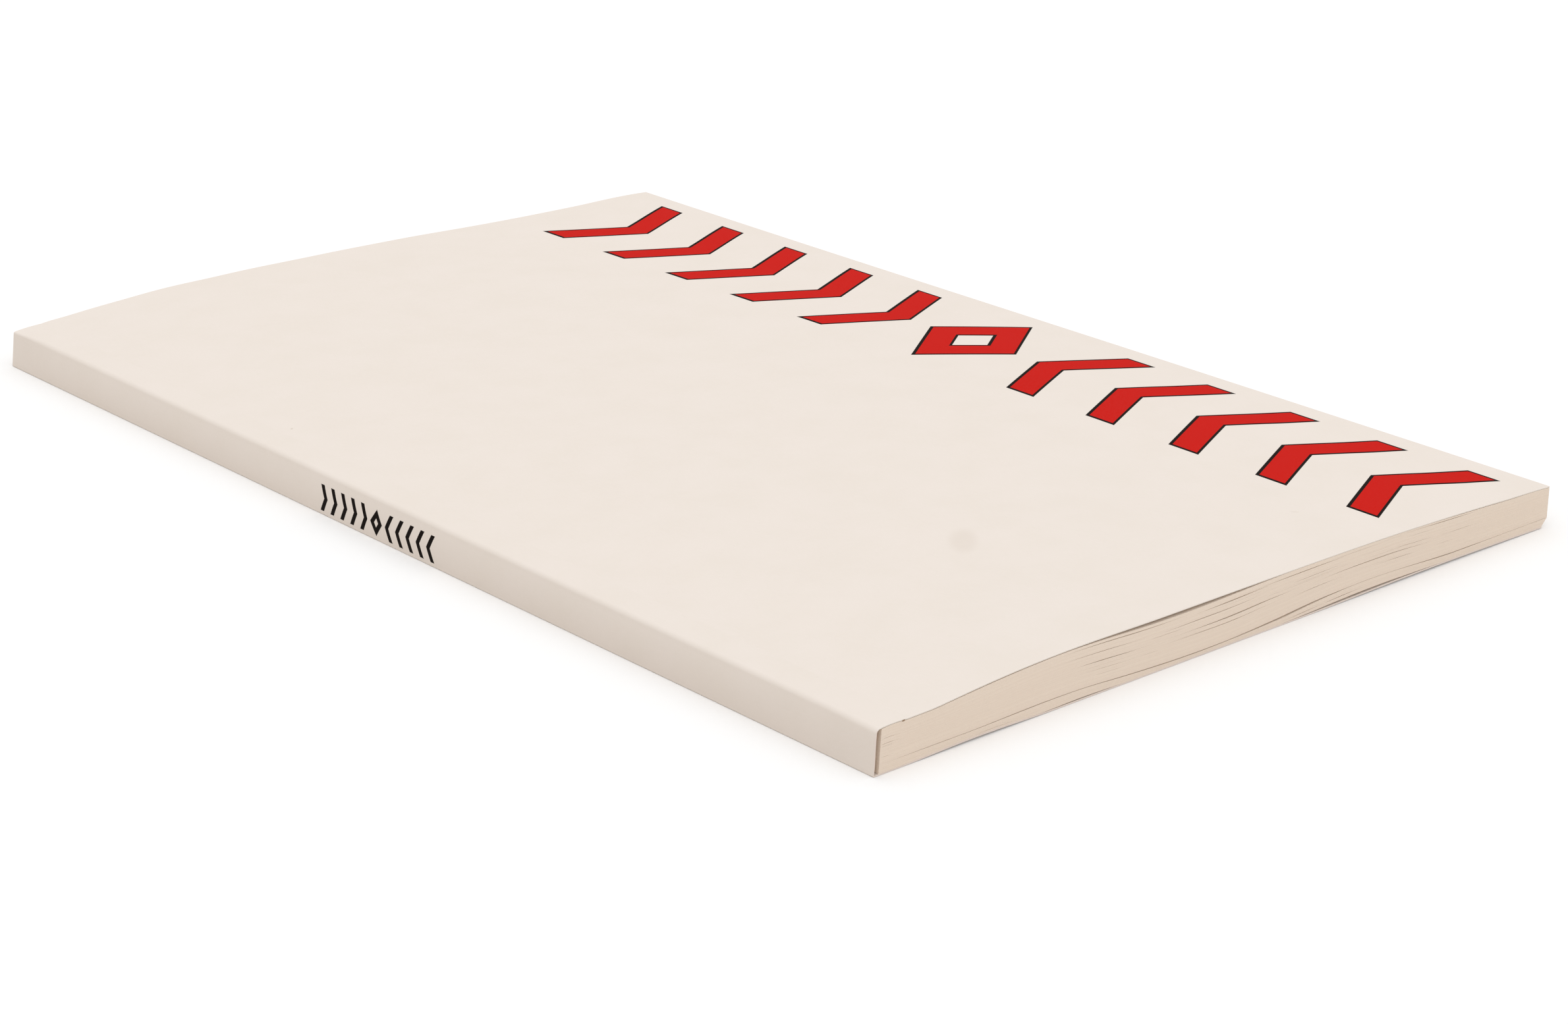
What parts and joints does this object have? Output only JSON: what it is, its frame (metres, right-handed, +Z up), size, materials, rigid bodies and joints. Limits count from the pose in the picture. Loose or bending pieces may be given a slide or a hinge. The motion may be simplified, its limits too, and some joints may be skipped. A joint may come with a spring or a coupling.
{
  "type": "paperback book",
  "caption": "Perfect-bound paperback lying flat, its card front cover bowed over the leaves; each cover swings open on a score beside the glued spine.",
  "frame": {"origin": "on the table, under the middle of the closed book lying on its back cover", "axes": "+X from the spine to the fore edge, +Y from the tail to the head, +Z up"},
  "size_m": [0.155, 0.24, 0.009],
  "materials": {
    "cover_card": "uncoated warm white card",
    "leaves": "cream book paper, trimmed edges",
    "glue": "amber hot-melt"
  },
  "bodies": {
    "bound_block": {"text_block": "leaves", "spine_glue": "glue", "cover_spine": "cover_card"},
    "front_cover": {"front_cover": "cover_card"},
    "back_cover": {"back_cover": "cover_card"}
  },
  "joints": [
    {"name": "front_cover_hinge", "type": "hinge", "parent": "bound_block", "child": "front_cover", "pos_m": [-0.0708, 0, 0.007], "axis": [0, -1, 0], "range_deg": [0, 170]},
    {"name": "back_cover_hinge", "type": "hinge", "parent": "bound_block", "child": "back_cover", "pos_m": [-0.0715, 0, 0], "axis": [0, 1, 0], "range_deg": [0, 170]}
  ]
}
